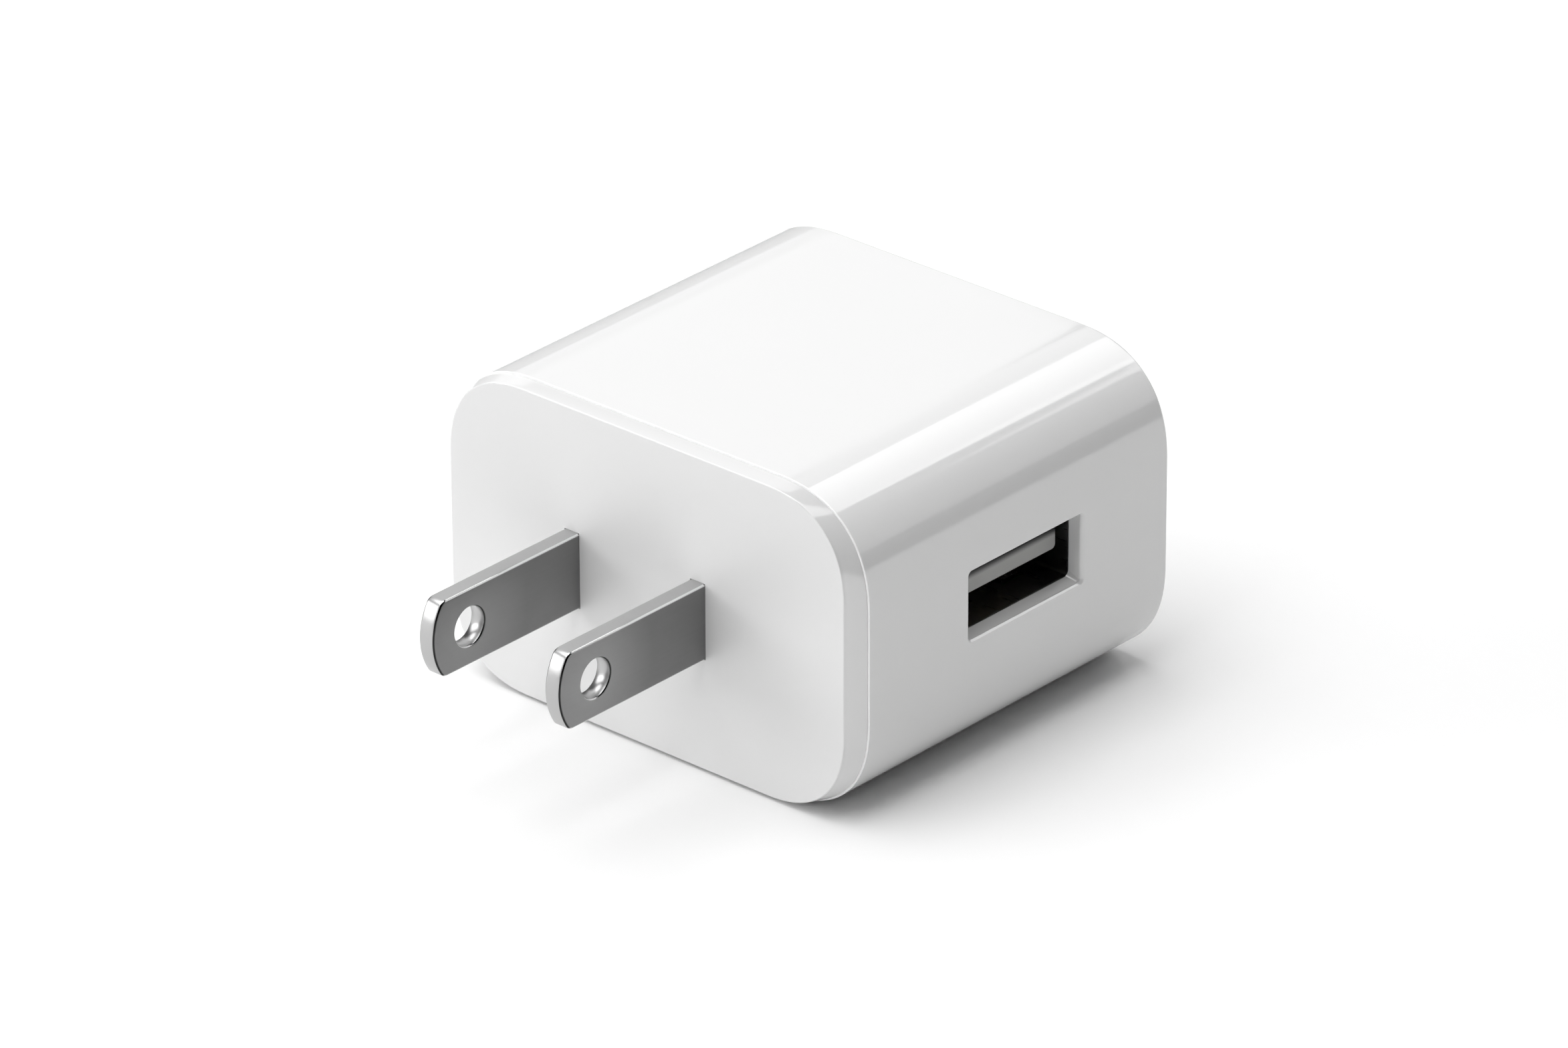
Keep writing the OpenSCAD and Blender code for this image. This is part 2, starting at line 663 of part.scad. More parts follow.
// Wire leads of the fuse resistor, the filter inductor and the Y capacitor
module component_leads() color("silver") {
  fuse_top = board_top + fuse_lift + fuse_len;
  arch_z = fuse_top + 0.4;
  y_cap_lead = y_cap_lift + y_cap_r - sqrt(y_cap_r ^ 2 - (y_cap_pitch / 2 - lead_r) ^ 2);
  for (s = [-1, 1]) {
    rod(choke_at[0] + s * choke_pitch / 2, choke_at[1], lead_end, board_top, lead_r);
    rod(y_cap_at[0], y_cap_at[1] + s * y_cap_pitch / 2, lead_end, board_top + y_cap_lead, lead_r);
  }
  rod(fuse_at[0], fuse_at[1], lead_end, board_top + fuse_lift, lead_r);
  rod(fuse_at[0], fuse_at[1], fuse_top, arch_z, lead_r);
  rod(fuse_at[0] - fuse_return, fuse_at[1], lead_end, arch_z, lead_r);
  translate([fuse_at[0] - fuse_return / 2, fuse_at[1], arch_z])
    rotate([90, 0, 0]) rotate_extrude(angle = 180) translate([fuse_return / 2, 0]) circle(lead_r, $fn = 24);
}

// Moulded body under the board with drafted sides
module moulded(p) {
  draft = 0.15;
  lift = 0.1;
  x = p[2] / 2;
  h = p[4];
  translate([p[0], p[1] + p[3] / 2, board_bottom - lift])
    rotate([90, 0, 0])
      linear_extrude(p[3])
        polygon([[-x + draft, 0], [x - draft, 0], [x, -h / 2], [x - draft, -h], [-x + draft, -h],
          [-x, -h / 2]]);
}

module bridge_rectifier() color("black") moulded(rectifier);
module control_chip() color("black") moulded(controller);
module optocoupler() color("whitesmoke") moulded(coupler);
module output_diode() color("black") moulded(diode);

// Bent legs on both ends of a moulded body: count per side, pitch, width
module legs(p, count, pitch, w) {
  t = 0.2;
  z_mid = board_bottom - 0.1 - p[4] / 2;
  for (s = [-1, 1])
    for (i = [0 : count - 1])
      translate([p[0], p[1] + (i - (count - 1) / 2) * pitch + w / 2, 0])
        rotate([90, 0, 0])
          linear_extrude(w)
            mirror([s < 0 ? 1 : 0, 0])
              polygon([[p[2] / 2, z_mid - t / 2], [p[2] / 2 + leg_reach / 2 + t, z_mid - t / 2],
                [p[2] / 2 + leg_reach / 2 + t, board_bottom - t], [p[2] / 2 + leg_reach, board_bottom - t],
                [p[2] / 2 + leg_reach, board_bottom], [p[2] / 2 + leg_reach / 2, board_bottom],
                [p[2] / 2 + leg_reach / 2, z_mid + t / 2], [p[2] / 2, z_mid + t / 2]]);
}

module chip_legs() color("silver") {
  legs(rectifier, 2, 2.5, 0.7);
  legs(controller, 3, 1.27, 0.4);
  legs(coupler, 2, 2.54, 0.5);
  legs(diode, 1, 1, 2.4);
}

module chip_parts() color("saddlebrown")
  for (c = chips)
    translate([c[0] - c[2] / 2, c[1] - c[3] / 2, board_bottom - chip_h]) cube([c[2], c[3], chip_h]);

// Barrier folded in an L around the port
module insulation_sheet() color("lightyellow") {
  box(sheet_x, sheet_x + sheet_t, sheet_y, sheet_end, board_top, sheet_top);
  box(sheet_x, board_right, sheet_y, sheet_y + sheet_t, board_top, sheet_top - 2);
}

module solder_joints() color("lightgray")
  for (p = concat(lead_points, clip_pin_points))
    difference() {
      translate([p[0], p[1], board_bottom - 0.9]) cylinder(h = 0.9, r1 = 0.4, r2 = 0.85, $fn = 24);
      rod(p[0], p[1], board_bottom - 2, board_bottom + cut, lead_r);
    }

rear_housing();
front_cover();
blade_left();
blade_right();
blade_retainer();
blade_clip_left();
blade_clip_right();
main_board();
usb_shell();
usb_insulator();
usb_contact_1();
usb_contact_2();
usb_contact_3();
usb_contact_4();
usb_terminals();
transformer_core_left();
transformer_core_right();
transformer_bobbin();
transformer_winding();
transformer_pins();
core_tape();
bulk_capacitor_1();
bulk_capacitor_2();
output_capacitor_1();
output_capacitor_2();
capacitor_bungs();
capacitor_leads();
fuse_resistor();
filter_inductor_core();
filter_inductor_winding();
y_capacitor();
component_leads();
bridge_rectifier();
control_chip();
optocoupler();
output_diode();
chip_legs();
chip_parts();
insulation_sheet();
solder_joints();
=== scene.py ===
import math

import bmesh
import bpy
from mathutils import Matrix, Vector


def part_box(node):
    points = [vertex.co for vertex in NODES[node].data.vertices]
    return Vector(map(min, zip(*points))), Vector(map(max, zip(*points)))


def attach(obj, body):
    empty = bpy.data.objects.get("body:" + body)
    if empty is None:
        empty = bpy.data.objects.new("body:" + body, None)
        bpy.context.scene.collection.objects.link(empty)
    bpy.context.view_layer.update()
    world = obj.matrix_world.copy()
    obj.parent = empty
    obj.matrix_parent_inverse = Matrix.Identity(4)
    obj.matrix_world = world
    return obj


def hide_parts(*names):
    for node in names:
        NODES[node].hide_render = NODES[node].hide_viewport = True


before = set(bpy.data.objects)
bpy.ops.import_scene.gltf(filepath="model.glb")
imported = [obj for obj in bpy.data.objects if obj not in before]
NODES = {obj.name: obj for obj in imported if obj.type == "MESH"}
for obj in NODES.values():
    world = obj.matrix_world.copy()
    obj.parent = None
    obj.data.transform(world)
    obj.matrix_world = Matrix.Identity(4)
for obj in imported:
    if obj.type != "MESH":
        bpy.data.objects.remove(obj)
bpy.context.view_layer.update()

# Visual model of the USB wall charger. X points to the port's side, -Y to where the blades point, and Z up.
MM = 0.001


def mm_box(node):
    """Lowest and highest corner of a CAD node."""
    low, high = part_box(node)
    return [v / MM for v in low], [v / MM for v in high]


# ---------------------------------------------------------------- sizes

HOUSING_LOW, HOUSING_HIGH = mm_box("rear_housing")
BOARD_LOW, BOARD_HIGH = mm_box("main_board")
STEEL_LOW, STEEL_HIGH = mm_box("usb_shell")
BLOCK_LOW, BLOCK_HIGH = mm_box("usb_insulator")
OVER, HAIR = 1.0, 0.01  # how far a cutting solid goes past what it cuts, and past another cut

# body: its middle, half sizes and long edges, which ease in and out of their curve (EASE 2 would be an arc)
BODY_X, BODY_Z = (HOUSING_LOW[0] + HOUSING_HIGH[0]) / 2, (HOUSING_LOW[2] + HOUSING_HIGH[2]) / 2
HALF_W, HALF_H = (HOUSING_HIGH[0] - HOUSING_LOW[0]) / 2, (HOUSING_HIGH[2] - HOUSING_LOW[2]) / 2
CORNER, EASE = 9.0, 2.4
SEAM, BACK = HOUSING_LOW[1], HOUSING_HIGH[1]
FRONT_FILLET, BACK_FILLET, FILLET_STEPS, STATIONS = 0.03, 0.3, 5, 22

# inside of the housing: walls, the pocket for the cover's skirt, and the rails that hold the board
WALL, CAVITY_R = 2.0, 5.7
POCKET_INSET, POCKET_R = 1.0, 6.7
INNER_LEFT, INNER_RIGHT, OUTER_RIGHT = BODY_X - HALF_W + WALL, BODY_X + HALF_W - WALL, BODY_X + HALF_W
RAIL_W, RAIL_T, RAIL_PLAY = 1.6, 1.2, 0.1

# port: the steel shell stands on the board, and slides into a channel in the housing's wall
PORT_Y, PORT_Z, MOUTH = (STEEL_LOW[1] + STEEL_HIGH[1]) / 2, BOARD_HIGH[2] + 2.86, STEEL_HIGH[0]
MOUTH_PLAY, CHANNEL_END, CHANNEL_HALF_H = 0.1, STEEL_HIGH[1] + 0.2, 3.01
CONTACT_OFFSETS = (-3.5, -1, 1, 3.5)

# window: flared at its two ends and chamfered above and below, with corners that are tighter inside, then a
# throat that covers the steel's edges. OUTSIDE and THROAT are growth in width and height, and corner radius.
WINDOW_W, WINDOW_H, WINDOW_R_OUT, WINDOW_R_IN = 12.9, 5.8, 0.5, 0.25
FLARE_W, FLARE_DEPTH, CHAMFER_H, CHAMFER_DEPTH, FLARE_STEPS = 0.45, 0.40, 0.12, 0.2, 6
OUTSIDE, THROAT = (0.75, 0.70, 0.6), (-0.18, -0.31, 0.5)

# cover: half sizes and corners of the blade face, (inset, depth) of its softened edge, and the rim, which
# ends just before the housing and a step below it
FACE_W, FACE_H, FACE_CORNER = 19.83, 12.98, 7.91
FACE_EDGE = ((0.14, 0), (0.07, 0.008), (0.015, 0.04))
RIM_START, RIM_END, RIM_EDGE_DEPTH, RIM_EDGE_INSET, RIM_STEPS = 0.09, SEAM - 0.01, 0.04, 0.03, 8
STEP, BULGE = 0.13, 0.12
SKIRT_START, SKIRT_END, SKIRT_LEAD = 1.1, mm_box("front_cover")[1][1], 0.3
SKIRT_INSET, SKIRT_R = 1.1, 6.6
HOLLOW_START, HOLLOW_INSET, HOLLOW_R = 2.0, 2.2, 5.5
POST_X, POST_Z, POST_START, POST_R = 11, 3.5, 1.9, 0.9
RETAINER_END = mm_box("blade_retainer")[1][1]

# blades
BLADE_X = {name: sum(corner[0] for corner in mm_box(name)) / 2 for name in ("blade_left", "blade_right")}
BLADE_W, BLADE_T, BLADE_LEN = 6.35, 1.5, 16.0
TIP_R, TIP_FILLET, EDGE_R, EDGE_STEPS = 5.2, 0.8, 0.22, 5
SHOULDER_Y, SHOULDER_END, SHOULDER_HALF = 2.0, 3.2, 4.2
TAIL_END, TAIL_LOW, TAIL_HIGH = 10.4, -0.6, 2.9
HOLE_Y, HOLE_R, HOLE_CHAMFER, HOLE_STEPS = -12.0, 1.6, 0.14, 64
SLOT_PLAY, SLOT_END = 0.01, 3

# port's block and tongue
TONGUE_ROOT, TONGUE_SINK = STEEL_LOW[0] + 2.9, 0.5
TONGUE_LOW, TONGUE_HIGH, TONGUE_W, TONGUE_R, TONGUE_FILLET = 1.07, 2.91, 11.1, 0.42, 0.22
FINGER_HALF, FINGER_TOP, FINGER_END = 0.65, TONGUE_LOW + 0.98, BLOCK_HIGH[0] - 0.4
HINGE_Z = TONGUE_LOW + 0.7
STRIP_HALF_W, STRIP_HALF_T, TAIL_START, TAIL_T, TAIL_BOTTOM = 0.4, 0.225, STEEL_LOW[0] + 0.8, 0.8, -4

# ---------------------------------------------------------------- camera

# its direction from the object and its tilt in degrees, and its place along its own axes
CAMERA_AZIMUTH, CAMERA_ELEVATION, CAMERA_ROLL = 41.647, 26.690, -0.220
CAMERA_RIGHT, CAMERA_UP, CAMERA_BACK = 11.175, 5.228, 741.675
CAMERA_LENS, CAMERA_SENSOR = 227.5, 36


def add_camera():
    azimuth, elevation, roll = (math.radians(v) for v in (CAMERA_AZIMUTH, CAMERA_ELEVATION, CAMERA_ROLL))
    back = Vector((math.sin(azimuth) * math.cos(elevation), -math.cos(azimuth) * math.cos(elevation),
                   math.sin(elevation)))
    side = Vector((math.cos(azimuth), math.sin(azimuth), 0))
    top = back.cross(side)
    right = side * math.cos(roll) + top * math.sin(roll)
    up = top * math.cos(roll) - side * math.sin(roll)
    camera = bpy.data.objects.new("camera", bpy.data.cameras.new("camera"))
    bpy.context.collection.objects.link(camera)
    camera.data.sensor_width = CAMERA_SENSOR
    camera.data.lens = CAMERA_LENS
    camera.data.clip_start = 0.01
    camera.data.clip_end = 10
    place_at = (right * CAMERA_RIGHT + up * CAMERA_UP + back * CAMERA_BACK) * MM
    camera.matrix_world = Matrix.Translation(place_at) @ Matrix((right, up, back)).transposed().to_4x4()
    bpy.context.scene.camera = camera
    bpy.context.scene.view_settings.view_transform = "Standard"


# ---------------------------------------------------------------- outlines and rings of points

def section(half_w, half_h, corner, y, steps=36):
    """Ring around the body at depth y: a rectangle whose corners ease in and out of their curve."""
    ring = []
    for sx, sz, start in ((1, 1, 0), (-1, 1, 1), (-1, -1, 2), (1, -1, 3)):
        for i in range(steps + 1):
            a = math.pi / 2 * (i / steps if start % 2 == 0 else 1 - i / steps)
            ring.append((BODY_X + sx * (half_w - corner + corner * math.cos(a) ** (2 / EASE)), y,
                         BODY_Z + sz * (half_h - corner + corner * math.sin(a) ** (2 / EASE))))
    return ring


def round_rect(w, h, r, steps=8):
    """Outline of a rectangle with round corners, centred, counter-clockwise."""
    points = []
    for k, (sx, sy) in enumerate(((1, 1), (-1, 1), (-1, -1), (1, -1))):
        for i in range(steps + 1):
            a = math.pi / 2 * (k + i / steps)
            points.append((sx * (w / 2 - r) + r * math.cos(a), sy * (h / 2 - r) + r * math.sin(a)))
    return points


def quarter(r, steps):
    """Insets and set-backs around a fillet of radius r, from the edge's face to its side."""
    return [(r * (1 - math.sin(a)), r * (1 - math.cos(a)))
            for a in (math.pi / 2 * i / steps for i in range(steps + 1))]


def body_ring(y, inset=0.0):
    return section(HALF_W - inset, HALF_H - inset, CORNER - inset, y)


def inner_ring(y, inset, radius):
    """Ring around the inside of the body, with plain round corners."""
    return [(BODY_X + x, y, BODY_Z + z)
            for x, z in round_rect(2 * (HALF_W - inset), 2 * (HALF_H - inset), radius, 16)]


def cover_ring(t, y, inset=0.0):
    """Section of the cover's rim: t runs from 0 at the blade face to 1 at the seam."""
    half_w, half_h, corner = (at_face + (at_seam - STEP - at_face) * t - inset for at_face, at_seam in (
        (FACE_W, HALF_W), (FACE_H, HALF_H), (FACE_CORNER, CORNER)))
    return section(half_w, half_h, corner, y)


def window_ring(x, grow_w, grow_h, radius):
    """Ring around the port's window at x, larger than the window by grow_w and grow_h on each side."""
    return [(x, PORT_Y + y, PORT_Z + z)
            for y, z in round_rect(WINDOW_W + 2 * grow_w, WINDOW_H + 2 * grow_h, radius, 5)]


# ---------------------------------------------------------------- mesh tools

def make(name, verts, faces):
    mesh = bpy.data.meshes.new(name)
    mesh.from_pydata([Vector(v) * MM for v in verts], [], faces)
    obj = bpy.data.objects.new(name, mesh)
    bpy.context.collection.objects.link(obj)
    bm = bmesh.new()
    bm.from_mesh(mesh)
    bmesh.ops.recalc_face_normals(bm, faces=bm.faces)
    bm.to_mesh(mesh)
    bm.free()
    return obj


def loft(name, rings):
    """Closed skin through rings of equal length, with a flat cap at each end."""
    n = len(rings[0])
    faces = [list(range(n)), [(len(rings) - 1) * n + i for i in range(n)]]
    for k in range(len(rings) - 1):
        for i in range(n):
            j = (i + 1) % n
            faces.append((k * n + i, k * n + j, (k + 1) * n + j, (k + 1) * n + i))
    return make(name, [p for ring in rings for p in ring], faces)


def block(name, x0, x1, y0, y1, z0, z1):
    return loft(name, [[(x0, y0, z), (x1, y0, z), (x1, y1, z), (x0, y1, z)] for z in (z0, z1)])


def turned(name, x, z, profile, count=32):
    """Solid of revolution about a line along Y: profile is (y, radius) pairs."""
    angles = [2 * math.pi * i / count for i in range(count)]
    return loft(name, [[(x + r * math.cos(a), y, z + r * math.sin(a)) for a in angles] for y, r in profile])


def apply_modifiers(obj):
    graph = bpy.context.evaluated_depsgraph_get()
    mesh = bpy.data.meshes.new_from_object(obj.evaluated_get(graph))
    obj.modifiers.clear()
    obj.data = mesh


def combine(obj, other, operation):
    """Boolean operation on obj, which uses up the other object."""
    bpy.context.view_layer.update()
    mod = obj.modifiers.new("combine", "BOOLEAN")
    mod.operation = operation
    mod.solver = "EXACT"
    mod.object = other
    apply_modifiers(obj)
    bpy.data.objects.remove(other)


def cut(obj, other):
    combine(obj, other, "DIFFERENCE")


def finish_shading(obj, angle=28):
    """Smooth faces that are split at edges sharper than the angle, in degrees."""
    bm = bmesh.new()
    bm.from_mesh(obj.data)
    bmesh.ops.remove_doubles(bm, verts=bm.verts, dist=1e-7)
    for face in bm.faces:
        face.smooth = True
    for edge in bm.edges:
        edge.smooth = len(edge.link_faces) == 2 and edge.calc_face_angle(0) < math.radians(angle)
    bm.to_mesh(obj.data)
    bm.free()
    weighted = obj.modifiers.new("weighted", "WEIGHTED_NORMAL")
    weighted.keep_sharp = True
    weighted.weight = 100
    apply_modifiers(obj)


def place(obj, body, node, material):
    obj.data.materials.clear()
    obj.data.materials.append(material)
    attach(obj, body)
    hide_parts(node)


# ---------------------------------------------------------------- material tools

def new_material(name):
    mat = bpy.data.materials.new(name)
    mat.use_nodes = True
    tree = mat.node_tree
    return mat, tree, tree.nodes["Principled BSDF"]


def coords(tree, kind="Object"):
    """Sockets of x, y and z: Object is in metres, Generated runs from 0 to 1 across the piece, Normal is the
    surface's direction."""
    split = tree.nodes.new("ShaderNodeSeparateXYZ")
    tree.links.new(tree.nodes.new("ShaderNodeTexCoord").outputs[kind], split.inputs[0])
    return split.outputs


def math_node(tree, operation, a, b=0.0, c=0.0):
    n = tree.nodes.new("ShaderNodeMath")
    n.operation = operation
    for i, value in enumerate((a, b, c)):
        if isinstance(value, (int, float)):
            n.inputs[i].default_value = value
        else:
            tree.links.new(value, n.inputs[i])
    return n.outputs[0]


def remap(tree, value, low, high, from_low=0.3, from_high=0.7):
    """Turns from_low..from_high into low..high. Without them it takes the usual span of a noise."""
    n = tree.nodes.new("ShaderNodeMapRange")
    for key, v in zip(("From Min", "From Max", "To Min", "To Max"), (from_low, from_high, low, high)):
        n.inputs[key].default_value = v
    tree.links.new(value, n.inputs["Value"])
    return n.outputs["Result"]


def noise(tree, scale, detail=2.0, stretch=(1, 1, 1)):
    """Noise in the object's own space; scale is in cycles per metre."""
    mapping = tree.nodes.new("ShaderNodeMapping")
    mapping.inputs["Scale"].default_value = stretch
    tex = tree.nodes.new("ShaderNodeTexNoise")
    tex.inputs["Scale"].default_value = scale
    tex.inputs["Detail"].default_value = detail
    tree.links.new(tree.nodes.new("ShaderNodeTexCoord").outputs["Object"], mapping.inputs["Vector"])
    tree.links.new(mapping.outputs["Vector"], tex.inputs["Vector"])
    return tex.outputs["Fac"]


def clouds(tree, scale, detail=2.0):
    """Noise as a mask from 0 to 1."""
    return remap(tree, noise(tree, scale, detail), 0, 1)


# masks: sockets that are 1 where something is, and 0 elsewhere

def inverse(tree, mask):
    return math_node(tree, "SUBTRACT", 1.0, mask)


def both(tree, a, b):
    return math_node(tree, "MULTIPLY", a, b)


def either(tree, a, b):
    return math_node(tree, "MAXIMUM", a, b)


def above(tree, value, edge, soft):
    """0 below the edge and 1 above it, with a ramp of width 2 * soft."""
    return remap(tree, value, 0, 1, edge - soft, edge + soft)


def below(tree, value, edge, soft):
    return inverse(tree, above(tree, value, edge, soft))


def band(tree, value, centre, half, soft):
    """1 within half of the centre."""
    return below(tree, math_node(tree, "ABSOLUTE", math_node(tree, "SUBTRACT", value, centre)), half, soft)


def disc(tree, x, y, centre, radius, soft):
    """1 inside a circle."""
    dx, dy = (math_node(tree, "SUBTRACT", value, middle) for value, middle in zip((x, y), centre))
    squares = math_node(tree, "ADD", both(tree, dx, dx), both(tree, dy, dy))
    return below(tree, math_node(tree, "SQRT", squares), radius, soft)


def facing(tree, normal, edge, soft):
    """1 on the faces that look along the axis, either way, by more than the edge."""
    return above(tree, math_node(tree, "ABSOLUTE", normal), edge, soft)


def layer(tree, mask, under, over):
    """Colour under, with colour over where the mask is 1. Each is a colour or a socket."""
    n = tree.nodes.new("ShaderNodeMix")
    n.data_type = "RGBA"
    tree.links.new(mask, n.inputs[0])
    for socket, colour in ((n.inputs[6], under), (n.inputs[7], over)):
        if isinstance(colour, tuple):
            socket.default_value = (*colour, 1)
        else:
            tree.links.new(colour, socket)
    return n.outputs[2]


def grey(level):
    return (level, level, level)


def darker(colour, share):
    return tuple(c * (1 - share) for c in colour)


def dress(tree, shader, tint, rough, height, depth):
    """Connects a colour, a roughness and a bump of the given depth in metres."""
    tree.links.new(tint, shader.inputs["Base Color"])
    tree.links.new(rough, shader.inputs["Roughness"])
    n = tree.nodes.new("ShaderNodeBump")
    n.inputs["Distance"].default_value = depth
    tree.links.new(height, n.inputs["Height"])
    tree.links.new(n.outputs["Normal"], shader.inputs["Normal"])


# ---------------------------------------------------------------- plain materials

def plastic(name, colour, rough, spread, grain, depth, ior=1.5, vary=0.02, marks=None, satin=None):
    """Moulded plastic: slight colour drift, uneven gloss and a fine skin; grain in cycles per metre.
    marks(tree, colour) may add printed or moulded details, painted highlights or painted shade to the colour,
    and satin(tree) may add roughness to some faces."""
    mat, tree, shader = new_material(name)
    tint = layer(tree, clouds(tree, 90), darker(colour, vary), colour)
    if marks:
        tint = marks(tree, tint)
    fine = noise(tree, grain, 3)
    gloss = remap(tree, fine, rough - spread, rough + spread)
    if satin:
        gloss = math_node(tree, "ADD", gloss, satin(tree))
    shader.inputs["IOR"].default_value = ior
    dress(tree, shader, tint, gloss, fine, depth)
    return mat


def metal(name, colour, rough, spread, stretch, depth, scale=4000, vary=0.06):
    """Rolled or plated metal with fine lines along one axis."""
    mat, tree, shader = new_material(name)
    shader.inputs["Metallic"].default_value = 1
    lines = noise(tree, scale, 3, stretch)
    tint = layer(tree, clouds(tree, 160, 3), darker(colour, vary), colour)
    dress(tree, shader, tint, remap(tree, lines, rough - spread, rough + spread), lines, depth)
    return mat


def dipped(name, colour, marks=None):
    """Dipped enamel with an uneven, orange-peel gloss."""
    mat, tree, shader = new_material(name)
    tint = layer(tree, clouds(tree, 350), colour, darker(colour, 0.18))
    if marks:
        tint = marks(tree, tint)
    dress(tree, shader, tint, remap(tree, noise(tree, 1200), 0.16, 0.3), noise(tree, 800), 0.06 * MM)
    return mat


# ---------------------------------------------------------------- materials of the rebuilt pieces

def satin_face(tree):
    """Extra roughness of the face that the blades stand on."""
    _, ny, _ = coords(tree, "Normal")
    return both(tree, above(tree, math_node(tree, "MULTIPLY", ny, -1.0), 0.96, 0.03), 0.32)


def painted_seam_highlight(tree, tint):
    """Painted highlight: a thin pale band on the housing along the seam."""
    _, y, _ = coords(tree)
    return layer(tree, band(tree, y, (SEAM + 0.03) * MM, 0.05 * MM, 0.01 * MM), tint, grey(0.98))


def nickel():
    """Plated blades: satin rolled flats and smoother edges. The flats are painted darker (painted shade) and
    the edges brighter (painted light), a touch lighter round the hole (painted highlight), near-white where
    the edges look up (painted highlight), and near-black round the tip and on the body's side of the hole
    (painted shade)."""
    mat, tree, shader = new_material("nickel")
    shader.inputs["Metallic"].default_value = 1
    _, y, z = coords(tree)
    nx, _, nz = coords(tree, "Normal")
    side_on = math_node(tree, "ABSOLUTE", nx)
    flat = above(tree, side_on, 0.93, 0.05)
    rounded = band(tree, side_on, 0.68, 0.26, 0.06)
    hole = (HOLE_Y * MM, 0.0)
    # painted highlight: the flats lighter round the hole
    painted_hole_highlight = disc(tree, y, z, hole, 3.2 * MM, 3.0 * MM)
    cloud = clouds(tree, 160, 3)
    # flats: their darker colour is painted shade, with the painted highlight round the hole
    satin = layer(tree, painted_hole_highlight, layer(tree, cloud, grey(0.23), darker(grey(0.23), 0.08)), grey(0.34))
    # edges: their colour, brighter than the flats, is painted light
    edge = layer(tree, cloud, grey(0.50), darker(grey(0.50), 0.05))
    tip = below(tree, y, (1.15 - BLADE_LEN) * MM, 0.1 * MM)
    hole_rim = both(tree, disc(tree, y, z, hole, (HOLE_R + 0.3) * MM, 0.05 * MM),
                    above(tree, y, (HOLE_Y + 0.4) * MM, 0.4 * MM))
    # painted shade: near-black on the rounded edges round the tip and on the body's side of the hole
    painted_shade_edges = both(tree, rounded, either(tree, tip, hole_rim))
    # painted highlight: near-white on the rounded edges that look up, which are also made smoother
    painted_highlight_edges = both(tree, rounded, above(tree, nz, 0.2, 0.1))
    tint = layer(tree, painted_highlight_edges, layer(tree, flat, edge, satin), grey(0.95))
    tint = layer(tree, painted_shade_edges, tint, grey(0.03))
    rolled = noise(tree, 4000, 3, (1, 0.05, 1))
    edge_rough = 0.30
    over_edge = math_node(tree, "SUBTRACT", remap(tree, rolled, 0.32, 0.40), edge_rough)
    rough = math_node(tree, "ADD", both(tree, flat, over_edge), edge_rough)
    rough = math_node(tree, "SUBTRACT", rough, both(tree, painted_highlight_edges, 0.16))
    dress(tree, shader, tint, rough, rolled, 0.0012 * MM)
    return mat


def painted_tongue_shadow(tree, tint):
    """Painted shadow: a darker band along the top of the tongue."""
    _, _, z = coords(tree)
    return layer(tree, above(tree, z, (TONGUE_HIGH - 0.46) * MM, 0.2 * MM), tint, grey(0.02))


# the thin pale band along the seam is a painted highlight
WHITE_SHELL = plastic("white_shell", grey(0.74), 0.10, 0.01, 2500, 0.0004 * MM, ior=1.95, vary=0.006,
                      marks=painted_seam_highlight, satin=satin_face)
NICKEL = nickel()
# the dark band along the tongue's top is a painted shadow
PORT_PLASTIC = plastic("port_plastic", (0.36, 0.36, 0.35), 0.45, 0.05, 9000, 0.001 * MM, marks=painted_tongue_shadow)


# ---------------------------------------------------------------- body: the housing and the front cover

def board_cavity():
    """Room inside the housing, with the rails above and below the board's two side edges left standing."""
    cavity = loft("cut", [inner_ring(y, WALL, CAVITY_R) for y in (SKIRT_END - OVER, BACK - WALL)])
    for x0, x1 in ((INNER_LEFT - OVER, INNER_LEFT + RAIL_W), (INNER_RIGHT - RAIL_W, INNER_RIGHT + OVER)):
        for z0 in (BOARD_LOW[2] - RAIL_PLAY - RAIL_T, BOARD_HIGH[2] + RAIL_PLAY):
            beside_port = x0 > 0 and z0 > BOARD_LOW[2]
            y0 = CHANNEL_END + OVER if beside_port else BOARD_LOW[1]
            cut(cavity, block("rail", x0, x1, y0, BACK, z0, z0 + RAIL_T))
    return cavity


def port_window():
    """Cutting solid of the window, from outside the body to the steel's mouth and on through the wall."""
    rings = [window_ring(OUTER_RIGHT + OVER, *OUTSIDE)]
    for i in range(FLARE_STEPS + 1):
        a = math.pi / 2 * i / FLARE_STEPS
        depth = FLARE_DEPTH * (1 - math.cos(a))
        chamfer = CHAMFER_H * max(0, 1 - depth / CHAMFER_DEPTH)
        radius = WINDOW_R_IN + (WINDOW_R_OUT - WINDOW_R_IN) * math.cos(a)
        rings.append(window_ring(OUTER_RIGHT - depth, FLARE_W * (1 - math.sin(a)), chamfer, radius))
    rings += [window_ring(x, *THROAT) for x in (MOUTH + MOUTH_PLAY, INNER_RIGHT - OVER)]
    return loft("cut", rings)


def housing_shell():
    first, last = SEAM + FRONT_FILLET, BACK - BACK_FILLET
    rings = [body_ring(SEAM + y, inset) for inset, y in quarter(FRONT_FILLET, FILLET_STEPS)]
    rings += [body_ring(first + (last - first) * i / STATIONS) for i in range(1, STATIONS)]
    rings += [body_ring(BACK - y, inset) for inset, y in reversed(quarter(BACK_FILLET, FILLET_STEPS))]
    housing = loft("housing_shell", rings)
    cut(housing, loft("cut", [inner_ring(y, POCKET_INSET, POCKET_R) for y in (-OVER, SKIRT_END)]))
    cut(housing, board_cavity())
    cut(housing, port_window())
    cut(housing, block("cut", INNER_RIGHT - OVER, MOUTH + MOUTH_PLAY, SEAM - OVER, CHANNEL_END,
                       PORT_Z - CHANNEL_HALF_H, PORT_Z + CHANNEL_HALF_H))
    finish_shading(housing)
    return housing


